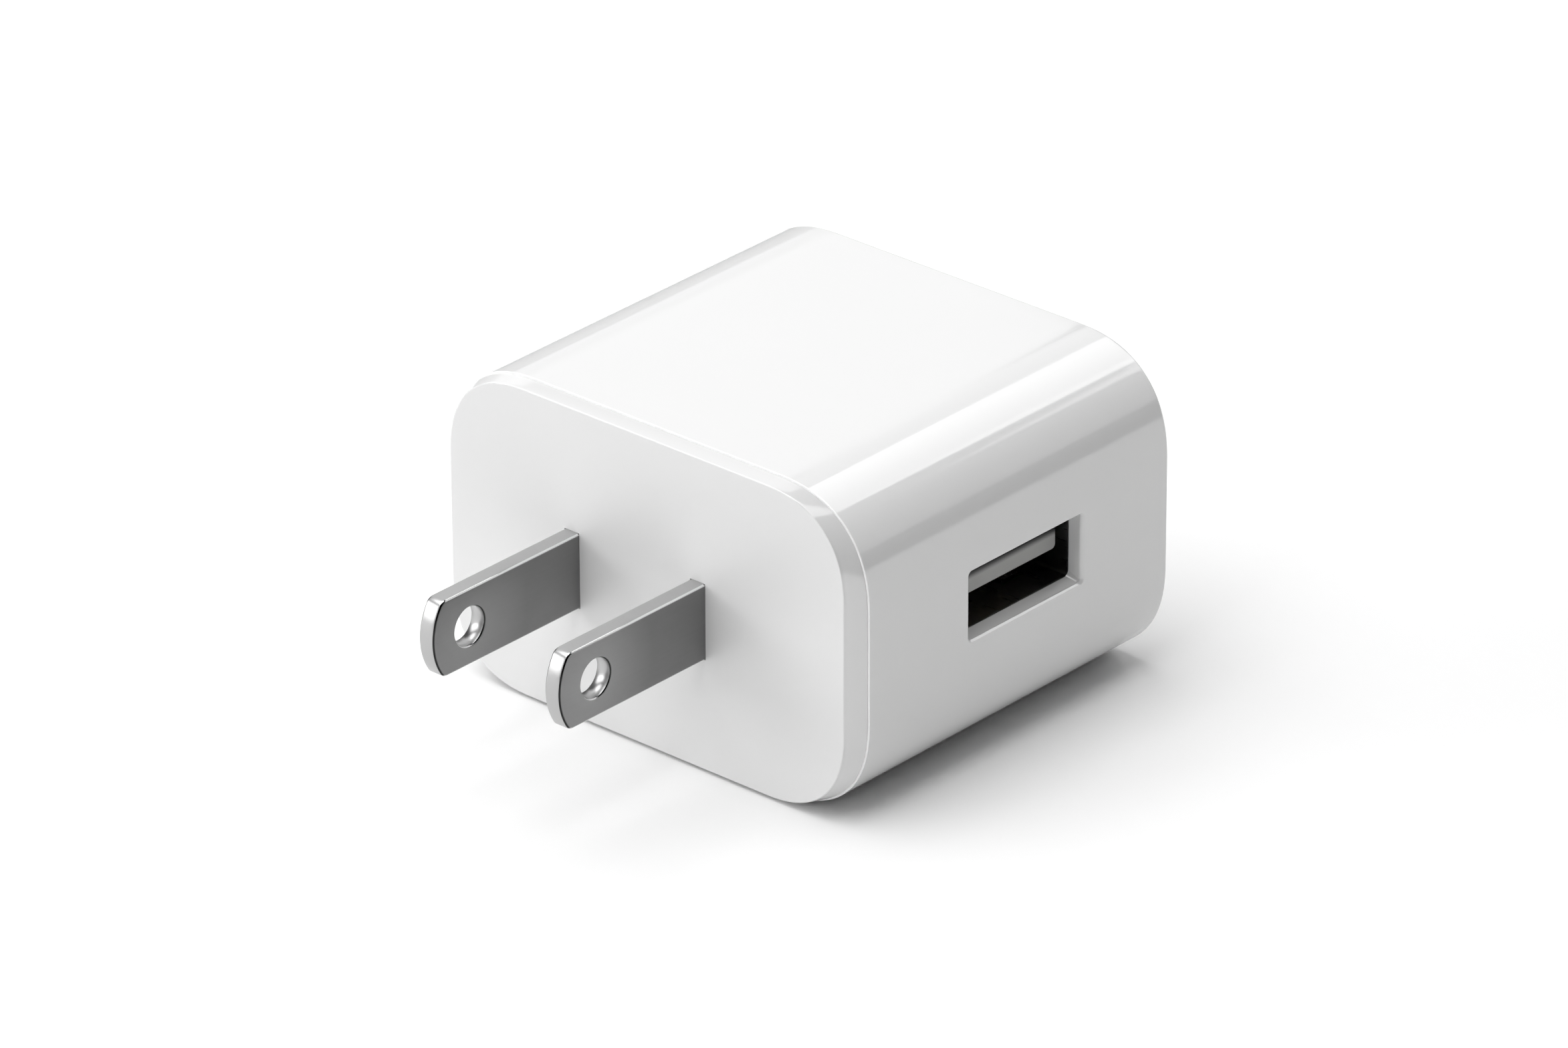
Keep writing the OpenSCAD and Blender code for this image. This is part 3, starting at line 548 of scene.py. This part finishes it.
def stake_post(x, z):
    """Post through the blade retainer, with a head melted over it: (y, radius) pairs."""
    head = ((0, 1.6), (0.3, 1.5), (0.65, 1.15), (0.8, 0.7))
    return turned("post", x, z, [(POST_START, POST_R), (RETAINER_END, POST_R)]
                  + [(RETAINER_END + y, r) for y, r in head])


def front_cap():
    rings = [cover_ring(0, depth, inset) for inset, depth in FACE_EDGE]
    for i in range(RIM_STEPS + 1):
        t = i / RIM_STEPS
        y = RIM_START + (RIM_END - RIM_EDGE_DEPTH - RIM_START) * t
        rings.append(cover_ring(t * (1 + BULGE - BULGE * t), y))
    rings.append(cover_ring(1, RIM_END, RIM_EDGE_INSET))
    cover = loft("front_cap", rings)
    skirt = [inner_ring(y, SKIRT_INSET, SKIRT_R) for y in (SKIRT_START, SKIRT_END - SKIRT_LEAD)]
    skirt.append(inner_ring(SKIRT_END, SKIRT_INSET + SKIRT_LEAD, SKIRT_R - SKIRT_LEAD))
    combine(cover, loft("skirt", skirt), "UNION")
    cut(cover, loft("cut", [inner_ring(y, HOLLOW_INSET, HOLLOW_R) for y in (HOLLOW_START, SKIRT_END + OVER)]))
    slot_w, slot_h = BLADE_T / 2 + SLOT_PLAY, BLADE_W / 2 + SLOT_PLAY
    for x in BLADE_X.values():
        cut(cover, block("cut", x - slot_w, x + slot_w, -OVER, SLOT_END, -slot_h, slot_h))
    for x in (-POST_X, POST_X):
        for z in (-POST_Z, POST_Z):
            combine(cover, stake_post(x, z), "UNION")
    finish_shading(cover)
    return cover


# ---------------------------------------------------------------- blades

def blade_outline():
    """(y, z) round a blade: the curved tip, its two round corners, the shoulders and the tail."""
    half = BLADE_W / 2
    centre = TIP_R - BLADE_LEN
    corner_y = centre - math.sqrt((TIP_R - TIP_FILLET) ** 2 - (half - TIP_FILLET) ** 2)
    meet = math.asin((half - TIP_FILLET) / (TIP_R - TIP_FILLET))
    tip = [(centre - TIP_R * math.cos(a), TIP_R * math.sin(a))
           for a in (meet * (i / 10 - 1) for i in range(21))]
    corner = [(corner_y - TIP_FILLET * math.cos(a), half - TIP_FILLET + TIP_FILLET * math.sin(a))
              for a in (meet + (math.pi / 2 - meet) * i / 8 for i in range(1, 9))]
    return [(y, -z) for y, z in reversed(corner)] + tip + corner + [
        (SHOULDER_Y, half), (SHOULDER_Y, SHOULDER_HALF), (SHOULDER_END, SHOULDER_HALF),
        (SHOULDER_END, TAIL_HIGH), (TAIL_END, TAIL_HIGH), (TAIL_END, TAIL_LOW), (SHOULDER_END, TAIL_LOW),
        (SHOULDER_END, -SHOULDER_HALF), (SHOULDER_Y, -SHOULDER_HALF), (SHOULDER_Y, -half)]


def inward(outline):
    """Direction at each corner that draws the whole outline in by the same distance."""
    n = len(outline)
    sharpest = 0.35  # keeps the directions short at sharp corners
    directions = []
    for i in range(n):
        before, here, after = (Vector(outline[k % n]) for k in (i - 1, i, i + 1))
        first, second = (here - before).normalized(), (after - here).normalized()
        turn = Vector((first.y + second.y, -first.x - second.x)).normalized()
        directions.append(turn / max(sharpest, turn.dot(Vector((first.y, -first.x)))))
    return directions


def hole_cutter(x):
    """Cutting solid of a blade's hole, with a chamfer on both sides."""
    beyond = 0.3
    profile = [(BLADE_T / 2 + beyond, HOLE_CHAMFER + beyond), (BLADE_T / 2, HOLE_CHAMFER),
               (BLADE_T / 2 - HOLE_CHAMFER, 0)]
    profile = [(-dx, grow) for dx, grow in profile] + profile[::-1]
    angles = [2 * math.pi * i / HOLE_STEPS for i in range(HOLE_STEPS)]
    return loft("cut", [[(x + dx, HOLE_Y + (HOLE_R + grow) * math.cos(a), (HOLE_R + grow) * math.sin(a))
                         for a in angles] for dx, grow in profile])


def blade(name, x):
    """Flat blade in the plane at x, with rounded edges and a chamfered hole."""
    outline = blade_outline()
    directions = inward(outline)
    insets = quarter(EDGE_R, EDGE_STEPS)
    rings = []
    for face, edge in ((-1, insets), (1, reversed(insets))):
        for inset, set_back in edge:
            rings.append([(x + face * (BLADE_T / 2 - set_back), y + d.x * inset, z + d.y * inset)
                          for (y, z), d in zip(outline, directions)])
    obj = loft(name, rings)
    cut(obj, hole_cutter(x))
    finish_shading(obj, 50)
    return obj


# ---------------------------------------------------------------- port

def port_tongue():
    """Moulded block of the port with its tongue, cut away for the four contact strips and their tails."""
    middle_z, tongue_h = (TONGUE_LOW + TONGUE_HIGH) / 2, TONGUE_HIGH - TONGUE_LOW
    rings = []
    front = [(BLOCK_HIGH[0] - y, inset) for inset, y in reversed(quarter(TONGUE_FILLET, 4))]
    for x, inset in [(TONGUE_ROOT - TONGUE_SINK, 0)] + front:
        rings.append([(x, PORT_Y + y, middle_z + z) for y, z in
                      round_rect(TONGUE_W - 2 * inset, tongue_h - 2 * inset, TONGUE_R - inset, 6)])
    tongue = loft("port_tongue", rings)
    combine(tongue, block("block", BLOCK_LOW[0], TONGUE_ROOT, BLOCK_LOW[1], BLOCK_HIGH[1],
                          BLOCK_LOW[2], BLOCK_HIGH[2]), "UNION")
    for offset in CONTACT_OFFSETS:
        y = PORT_Y + offset
        cut(tongue, block("cut", TONGUE_ROOT - HAIR, FINGER_END, y - FINGER_HALF, y + FINGER_HALF,
                          TONGUE_LOW - OVER, FINGER_TOP))
        cut(tongue, block("cut", TAIL_START, TONGUE_ROOT + HAIR, y - STRIP_HALF_W, y + STRIP_HALF_W,
                          HINGE_Z - STRIP_HALF_T, HINGE_Z + STRIP_HALF_T))
        cut(tongue, block("cut", TAIL_START, TAIL_START + TAIL_T, y - STRIP_HALF_W, y + STRIP_HALF_W,
                          TAIL_BOTTOM, HINGE_Z))
    finish_shading(tongue)
    return tongue


# ---------------------------------------------------------------- materials of the pieces that stay CAD

def port_steel():
    """Black nickel on the port's sheet, worn back to the bright steel on the edges round its mouth."""
    mat, tree, shader = new_material("port_steel")
    shader.inputs["Metallic"].default_value = 1
    rolled = noise(tree, 5000, 3, (0.1, 1, 1))
    x, _, _ = coords(tree)
    nx, _, _ = coords(tree, "Normal")
    edge = both(tree, above(tree, nx, 0.8, 0.1), above(tree, x, (MOUTH - 0.2) * MM, 0.1 * MM))
    black = layer(tree, clouds(tree, 300, 3), (0.17, 0.17, 0.175), (0.23, 0.23, 0.235))
    tint = layer(tree, edge, black, grey(0.42))
    dress(tree, shader, tint, remap(tree, rolled, 0.26, 0.38), rolled, 0.001 * MM)
    return mat


PRINT_GAP, PRINT_WIDTH = 0.3 * MM, 0.15 * MM
ROUND_PARTS = ("bulk_capacitor_1", "bulk_capacitor_2", "output_capacitor_1", "output_capacitor_2",
               "filter_inductor_core", "fuse_resistor")


def span(tree, value, start, end, grow, soft):
    """1 between start and end, both moved outwards by grow."""
    return band(tree, value, (start + end) / 2, (end - start) / 2 + grow, soft)


def board_prints(tree, x, y):
    """White outlines printed round the parts that stand on the board."""
    prints = None
    for name in ROUND_PARTS:
        low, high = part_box(name)
        centre = [(low[i] + high[i]) / 2 for i in (0, 1)]
        radius = (high[0] - low[0]) / 2 + PRINT_GAP
        outer, inner = (disc(tree, x, y, centre, radius + half, 0.03 * MM)
                        for half in (PRINT_WIDTH / 2, -PRINT_WIDTH / 2))
        circle = both(tree, outer, inverse(tree, inner))
        prints = circle if prints is None else either(tree, prints, circle)
    low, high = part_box("transformer_bobbin")
    for (across, i), (along, j) in (((x, 0), (y, 1)), ((y, 1), (x, 0))):
        lines = either(tree, band(tree, across, low[i] - PRINT_GAP, PRINT_WIDTH / 2, 0.02 * MM),
                       band(tree, across, high[i] + PRINT_GAP, PRINT_WIDTH / 2, 0.02 * MM))
        length = span(tree, along, low[j], high[j], PRINT_GAP, 0.01 * MM)
        prints = either(tree, prints, both(tree, lines, length))
    return prints


def copper_areas(tree):
    """Angular areas with narrow gaps between them, about a third of them bare of copper."""
    place_here = tree.nodes.new("ShaderNodeTexCoord").outputs["Object"]
    nearest, second = (tree.nodes.new("ShaderNodeTexVoronoi") for _ in range(2))
    for cells, feature in ((nearest, "F1"), (second, "F2")):
        cells.feature, cells.distance = feature, "CHEBYCHEV"
        cells.inputs["Scale"].default_value = 260
        tree.links.new(place_here, cells.inputs["Vector"])
    to_border = math_node(tree, "SUBTRACT", second.outputs["Distance"], nearest.outputs["Distance"])
    chance = tree.nodes.new("ShaderNodeSeparateXYZ")
    tree.links.new(nearest.outputs["Color"], chance.inputs[0])
    return both(tree, above(tree, to_border, 0.09, 0.02), above(tree, chance.outputs[0], 0.3, 0.01))


def board_material():
    """Green mask over copper: lighter where copper lies under it, white printed outlines, bare laminate on
    the edges and tin in the holes."""
    mat, tree, shader = new_material("board")
    x, y, _ = coords(tree)
    _, _, nz = coords(tree, "Normal")
    copper = copper_areas(tree)
    mask = layer(tree, copper, (0.018, 0.115, 0.045), (0.04, 0.235, 0.085))
    mask = layer(tree, remap(tree, noise(tree, 400), 0, 0.12), mask, (0.01, 0.06, 0.03))
    prints = both(tree, board_prints(tree, x, y), above(tree, nz, 0.5, 0.1))
    face = layer(tree, prints, mask, (0.75, 0.76, 0.72))
    wall = inverse(tree, facing(tree, nz, 0.5, 0.1))
    low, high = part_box("main_board")
    inside = both(tree, span(tree, x, low[0], high[0], -0.1 * MM, 0.05 * MM),
                  span(tree, y, low[1], high[1], -0.1 * MM, 0.05 * MM))
    weave = remap(tree, noise(tree, 3000, 2, (0.2, 0.2, 3)), 0, 1)
    fibres = layer(tree, weave, (0.42, 0.36, 0.16), (0.58, 0.52, 0.28))
    tint = layer(tree, wall, face, layer(tree, inside, fibres, (0.70, 0.68, 0.62)))
    tree.links.new(both(tree, wall, inside), shader.inputs["Metallic"])
    rough = remap(tree, noise(tree, 2500, 3), 0.28, 0.4)
    dress(tree, shader, tint, rough, either(tree, copper, prints), 0.02 * MM)
    return mat


def sleeve(name, colour, stripe_colour):
    """Printed shrink sleeve with a polarity stripe of dashes, open round the bare aluminium top."""
    mat, tree, shader = new_material(name)
    gx, gy, gz = coords(tree, "Generated")
    _, _, z = coords(tree)
    stripe = below(tree, gx, 0.075, 0.01)
    beat = math_node(tree, "FRACT", math_node(tree, "MULTIPLY", z, 1 / (2.6 * MM)))
    dash = both(tree, band(tree, beat, 0.5, 0.22, 0.03), band(tree, gy, 0.5, 0.07, 0.015))
    printed = layer(tree, dash, stripe_colour, colour)
    body = layer(tree, stripe, layer(tree, clouds(tree, 300), colour, darker(colour, 0.15)), printed)
    top = both(tree, above(tree, gz, 0.965, 0.004), disc(tree, gx, gy, (0.5, 0.5), 0.41, 0.008))
    tree.links.new(top, shader.inputs["Metallic"])
    tint = layer(tree, top, body, (0.78, 0.78, 0.79))
    rough = remap(tree, noise(tree, 1500, 3), 0.2, 0.32)
    dress(tree, shader, tint, rough, noise(tree, 900, 3), 0.02 * MM)
    return mat


def tape():
    """Wound polyester tape: faint layers, ripples and a clear coat."""
    mat, tree, shader = new_material("winding_tape")
    wrap = remap(tree, noise(tree, 700, 3, (1, 0.12, 0.12)), 0, 1)
    ripple = noise(tree, 1800, 4, (0.5, 1, 1))
    tint = layer(tree, wrap, (0.86, 0.62, 0.07), (0.72, 0.47, 0.04))
    tint = layer(tree, remap(tree, ripple, 0, 0.25, 0.55, 0.7), tint, (0.92, 0.74, 0.2))
    shader.inputs["Coat Weight"].default_value = 0.4
    shader.inputs["Coat Roughness"].default_value = 0.15
    dress(tree, shader, tint, remap(tree, ripple, 0.22, 0.38), ripple, 0.04 * MM)
    return mat


def wire_turns():
    """Close turns of enamelled wire round an upright axis, darker between the turns as painted shade."""
    mat, tree, shader = new_material("enamelled_copper")
    _, _, z = coords(tree)
    turn = math_node(tree, "SINE", math_node(tree, "MULTIPLY", z, 2 * math.pi / (0.3 * MM)))
    # the dark bands between the turns are painted shade in the grooves
    tint = layer(tree, above(tree, turn, -0.6, 0.4), (0.20, 0.06, 0.02), (0.72, 0.29, 0.10))
    tint = layer(tree, remap(tree, noise(tree, 900, 3), 0, 0.35), tint, (0.80, 0.40, 0.16))
    shader.inputs["Metallic"].default_value = 0.9
    dress(tree, shader, tint, remap(tree, noise(tree, 2500, 2), 0.22, 0.36), turn, 0.08 * MM)
    return mat


def solder_material():
    mat, tree, shader = new_material("solder")
    shader.inputs["Metallic"].default_value = 1
    dull = noise(tree, 900, 3)
    tint = layer(tree, remap(tree, dull, 0, 1), (0.74, 0.75, 0.76), (0.55, 0.56, 0.57))
    dress(tree, shader, tint, remap(tree, dull, 0.16, 0.42), noise(tree, 1600), 0.03 * MM)
    return mat


def colour_bands(tree, tint):
    """Four painted value bands round the fuse resistor, each at its share of the height."""
    low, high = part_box("fuse_resistor")
    _, _, z = coords(tree)
    for share, colour in ((0.20, (0.30, 0.12, 0.04)), (0.38, grey(0.02)), (0.52, grey(0.02)),
                          (0.80, (0.62, 0.45, 0.16))):
        stripe = band(tree, z, low[2] + (high[2] - low[2]) * share, 0.35 * MM, 0.03 * MM)
        tint = layer(tree, stripe, tint, colour)
    return tint


def corner_dot(tree, tint):
    """Moulded mark beside the first leg, on the side that faces away from the board."""
    gx, gy, _ = coords(tree, "Generated")
    _, _, nz = coords(tree, "Normal")
    outward = above(tree, math_node(tree, "MULTIPLY", nz, -1.0), 0.9, 0.05)
    dot = both(tree, disc(tree, gx, gy, (0.14, 0.17), 0.055, 0.01), outward)
    return layer(tree, dot, tint, grey(0.16))


def chip_ends(tree, tint):
    """Tinned ends of the chip parts."""
    nx, _, _ = coords(tree, "Normal")
    return layer(tree, facing(tree, nx, 0.8, 0.1), tint, (0.72, 0.72, 0.70))


SLOTS = {
    "retainer_plastic": plastic("retainer_plastic", (0.20, 0.20, 0.21), 0.5, 0.08, 4000, 0.006 * MM,
                                vary=0.1),
    "spring_brass": metal("spring_brass", (0.78, 0.60, 0.30), 0.26, 0.06, (1, 0.08, 1), 0.003 * MM),
    "board": board_material(),
    "port_steel": port_steel(),
    "contact_gold": metal("contact_gold", (0.83, 0.62, 0.28), 0.25, 0.05, (0.1, 1, 1), 0.001 * MM),
    "ferrite": plastic("ferrite", (0.10, 0.10, 0.11), 0.52, 0.1, 6000, 0.012 * MM, vary=0.25),
    "bobbin_plastic": plastic("bobbin_plastic", (0.035, 0.035, 0.038), 0.34, 0.06, 3000, 0.005 * MM,
                              vary=0.15),
    "winding_tape": tape(),
    "tinned_wire": metal("tinned_wire", (0.76, 0.76, 0.74), 0.24, 0.08, (1, 1, 0.1), 0.004 * MM),
    "bulk_sleeve": sleeve("bulk_sleeve", (0.035, 0.05, 0.14), (0.62, 0.60, 0.50)),
    "output_sleeve": sleeve("output_sleeve", (0.03, 0.15, 0.09), (0.66, 0.62, 0.45)),
    "bung_rubber": plastic("bung_rubber", grey(0.045), 0.7, 0.08, 5000, 0.01 * MM, vary=0.2),
    "resistor_enamel": dipped("resistor_enamel", (0.33, 0.55, 0.42), colour_bands),
    "enamelled_copper": wire_turns(),
    "disc_enamel": dipped("disc_enamel", (0.05, 0.20, 0.52)),
    "chip_epoxy": plastic("chip_epoxy", (0.045, 0.045, 0.05), 0.55, 0.08, 9000, 0.008 * MM, vary=0.2,
                          marks=corner_dot),
    "coupler_plastic": plastic("coupler_plastic", (0.80, 0.80, 0.76), 0.5, 0.06, 9000, 0.006 * MM,
                               marks=corner_dot),
    "chip_ceramic": plastic("chip_ceramic", (0.42, 0.29, 0.18), 0.5, 0.1, 5000, 0.01 * MM, vary=0.15,
                            marks=chip_ends),
    "barrier_film": plastic("barrier_film", (0.86, 0.83, 0.66), 0.55, 0.08, 2600, 0.01 * MM, vary=0.08),
    "solder": solder_material(),
}

# ---------------------------------------------------------------- the model

place(housing_shell(), "charger", "rear_housing", WHITE_SHELL)
place(front_cap(), "charger", "front_cover", WHITE_SHELL)
for name, x in BLADE_X.items():
    place(blade(name.replace("blade", "prong"), x), "charger", name, NICKEL)
place(port_tongue(), "charger", "usb_insulator", PORT_PLASTIC)
for obj in NODES.values():
    slot_name = obj.data.materials[0].name if obj.data.materials else ""
    if slot_name in SLOTS:
        obj.data.materials[0] = SLOTS[slot_name]

# ---------------------------------------------------------------- stage and lights

FLOOR_Z, FLOOR_HALF, FLOOR_GREY = HOUSING_LOW[2], 3000, 0.91
CARD_AT, CARD_ALONG, CARD_HALF, CARD_TOP, CARD_GREY = (-95.8, 96.4, 0), (0.643, 0.766, 0), 115, 35, 0.42
PANEL_DISTANCE, PANEL_TARGET = 900, (0, 16, 0)


def paint(obj, name, level):
    """Plain matt grey on a stage object."""
    mat, _, shader = new_material(name)
    shader.inputs["Base Color"].default_value = (*grey(level), 1)
    shader.inputs["Roughness"].default_value = 0.9
    obj.data.materials.append(mat)
    return shader


def softbox(name, azimuth, elevation, width, height, brightness):
    """Panel in the direction azimuth (from +Y towards +X) and elevation, in degrees, facing the object. Its
    brightness is relative to paper white."""
    a, e = math.radians(azimuth), math.radians(elevation)
    direction = Vector((math.sin(a) * math.cos(e), math.cos(a) * math.cos(e), math.sin(e)))
    light = bpy.data.lights.new(name, "AREA")
    light.shape = "RECTANGLE"
    light.size, light.size_y = width * MM, height * MM
    light.energy = brightness * math.pi * light.size * light.size_y
    obj = bpy.data.objects.new(name, light)
    bpy.context.collection.objects.link(obj)
    obj.location = (Vector(PANEL_TARGET) + direction * PANEL_DISTANCE) * MM
    obj.rotation_euler = direction.to_track_quat("Z", "Y").to_euler()
    obj.visible_camera = False


add_camera()

floor = make("floor", [(sx * FLOOR_HALF, sy * FLOOR_HALF, FLOOR_Z)
                       for sx, sy in ((-1, -1), (1, -1), (1, 1), (-1, 1))], [(0, 1, 2, 3)])
paint(floor, "floor", FLOOR_GREY).inputs["Specular IOR Level"].default_value = 0.0

# grey card out of the picture, seen only in reflections, so that the left edge stands out from the background
card_ends = ((-CARD_HALF, FLOOR_Z), (CARD_HALF, FLOOR_Z), (CARD_HALF, CARD_TOP), (-CARD_HALF, CARD_TOP))
card = make("card", [Vector(CARD_AT) + Vector(CARD_ALONG) * s + Vector((0, 0, z)) for s, z in card_ends],
            [(0, 1, 2, 3)])
paint(card, "card", CARD_GREY)
card.visible_camera = card.visible_diffuse = card.visible_shadow = False

world = bpy.data.worlds.new("studio")
bpy.context.scene.world = world
world.use_nodes = True
world.node_tree.nodes["Background"].inputs["Color"].default_value = (1, 1, 1, 1)
world.node_tree.nodes["Background"].inputs["Strength"].default_value = 0.02

softbox("overhead", 205, 74, 1000, 900, 1.8)
softbox("zenith", 0, 90, 620, 620, 1.7)
softbox("high_left", 240, 60, 480, 360, 1.2)
softbox("high_front", 180, 60, 480, 360, 1.1)
softbox("rim", 268, 54, 400, 300, 0.9)
softbox("low_left", 228, 20, 760, 460, 2.3)
softbox("lowest_left", 225, 12, 640, 340, 1.3)
softbox("front", 180, 24, 420, 560, 1.15)
softbox("rear_left_low", 312, 18, 560, 190, 0.85)
softbox("rear_left", 307.7, 29, 420, 160, 1.12)
softbox("rear_left_mid", 328.5, 36.5, 150, 240, 1.0)
softbox("rear_left_high", 303, 45, 420, 300, 1.0)
softbox("rear", 8, 33, 480, 300, 1.35)
softbox("rear_low", 0, 14, 480, 300, 0.4)
softbox("rear_right", 34, 31, 560, 560, 0.58)
softbox("strip", -5, 44, 500, 250, 2.3)
